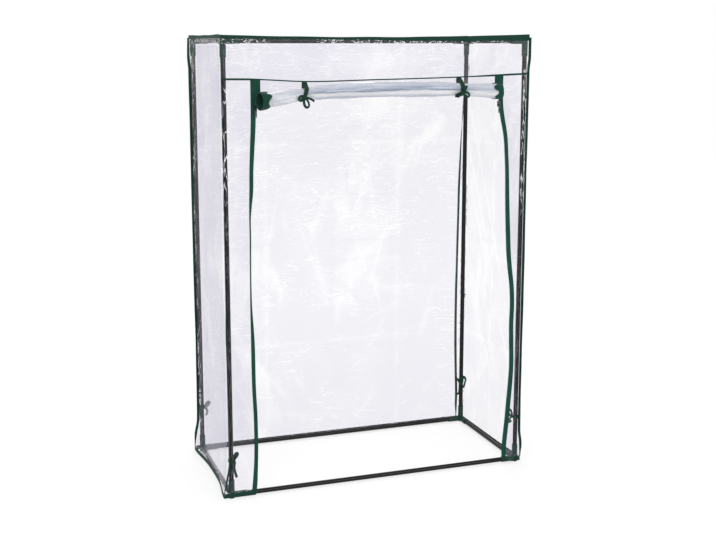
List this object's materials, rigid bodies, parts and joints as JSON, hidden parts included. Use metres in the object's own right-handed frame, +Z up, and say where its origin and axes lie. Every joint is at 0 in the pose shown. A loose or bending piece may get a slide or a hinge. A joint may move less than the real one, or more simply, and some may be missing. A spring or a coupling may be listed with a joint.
{
  "type": "tomato greenhouse",
  "caption": "Tall box greenhouse for tomato plants: plugged steel tube frame, clear film cover with green seams, roll-up zipped door tied open.",
  "frame": {"origin": "on the ground, at the middle of the frame's footprint", "axes": "+Z up, -Y towards the door, +X to the right as seen from the front"},
  "size_m": [1.0744, 0.5577, 1.51],
  "materials": {
    "coated_steel_tube": "charcoal powder coat, satin",
    "moulded_connector": "dark green injection-moulded plastic",
    "clear_film": "clear soft film, glossy, creased",
    "binding_tape": "dark green woven binding tape",
    "tie_ribbon": "dark green woven ribbon",
    "zip_tape": "dark green zip tape with a nylon coil",
    "zip_metal": "pale grey painted die-cast slider and pull"
  },
  "bodies": {
    "frame": {"post_front_left_lower": "coated_steel_tube", "post_front_left_upper": "coated_steel_tube", "post_front_right_lower": "coated_steel_tube", "post_front_right_upper": "coated_steel_tube", "post_back_left_lower": "coated_steel_tube", "post_back_left_upper": "coated_steel_tube", "post_back_right_lower": "coated_steel_tube", "post_back_right_upper": "coated_steel_tube", "base_rail_front_left": "coated_steel_tube", "base_rail_front_right": "coated_steel_tube", "base_rail_back_left": "coated_steel_tube", "base_rail_back_right": "coated_steel_tube", "base_rail_left": "coated_steel_tube", "base_rail_right": "coated_steel_tube", "base_connector_front_left": "moulded_connector", "base_connector_front_right": "moulded_connector", "base_connector_back_left": "moulded_connector", "base_connector_back_right": "moulded_connector", "top_rail_front_left": "coated_steel_tube", "top_rail_front_right": "coated_steel_tube", "top_rail_back_left": "coated_steel_tube", "top_rail_back_right": "coated_steel_tube", "top_rail_left": "coated_steel_tube", "top_rail_right": "coated_steel_tube", "top_connector_front_left": "moulded_connector", "top_connector_front_right": "moulded_connector", "top_connector_back_left": "moulded_connector", "top_connector_back_right": "moulded_connector", "roof_panel": "clear_film", "back_panel": "clear_film", "left_panel": "clear_film", "right_panel": "clear_film", "front_header": "clear_film", "front_left_strip": "clear_film", "front_right_strip": "clear_film", "door_flap": "clear_film", "roof_binding": "binding_tape", "hem_binding": "binding_tape", "header_binding": "binding_tape", "corner_binding_front_left": "binding_tape", "corner_binding_front_right": "binding_tape", "corner_binding_back_left": "binding_tape", "corner_binding_back_right": "binding_tape", "left_door_tie": "tie_ribbon", "right_door_tie": "tie_ribbon", "corner_tie_front_left": "tie_ribbon", "corner_tie_front_right": "tie_ribbon", "corner_tie_back_left": "tie_ribbon", "corner_tie_back_right": "tie_ribbon", "left_strip_zip": "zip_tape", "right_strip_zip": "zip_tape"},
    "door": {"door_roll": "clear_film", "left_door_zip": "zip_tape", "right_door_zip": "zip_tape"},
    "left_slider": {"left_zip_slider": "zip_metal"},
    "right_slider": {"right_zip_slider": "zip_metal"},
    "left_pull": {"left_zip_pull": "zip_metal"},
    "right_pull": {"right_zip_pull": "zip_metal"}
  },
  "joints": [
    {"name": "door_unroll", "type": "slide", "parent": "frame", "child": "door", "axis": [0, 0, -1], "range_m": [0, 1.29], "deforming": ["door_flap", "left_door_tie", "right_door_tie"]},
    {"name": "left_zip_slide", "type": "slide", "parent": "frame", "child": "left_slider", "axis": [0, 0, -1], "range_m": [0, 1.22]},
    {"name": "left_pull_swing", "type": "hinge", "parent": "left_slider", "child": "left_pull", "pos_m": [-0.422, -0.2511, 1.278], "axis": [-1, 0, 0], "range_deg": [0, 170]},
    {"name": "right_zip_slide", "type": "slide", "parent": "frame", "child": "right_slider", "axis": [0, 0, -1], "range_m": [0, 1.22]},
    {"name": "right_pull_swing", "type": "hinge", "parent": "right_slider", "child": "right_pull", "pos_m": [0.422, -0.2511, 1.278], "axis": [-1, 0, 0], "range_deg": [0, 170]}
  ]
}
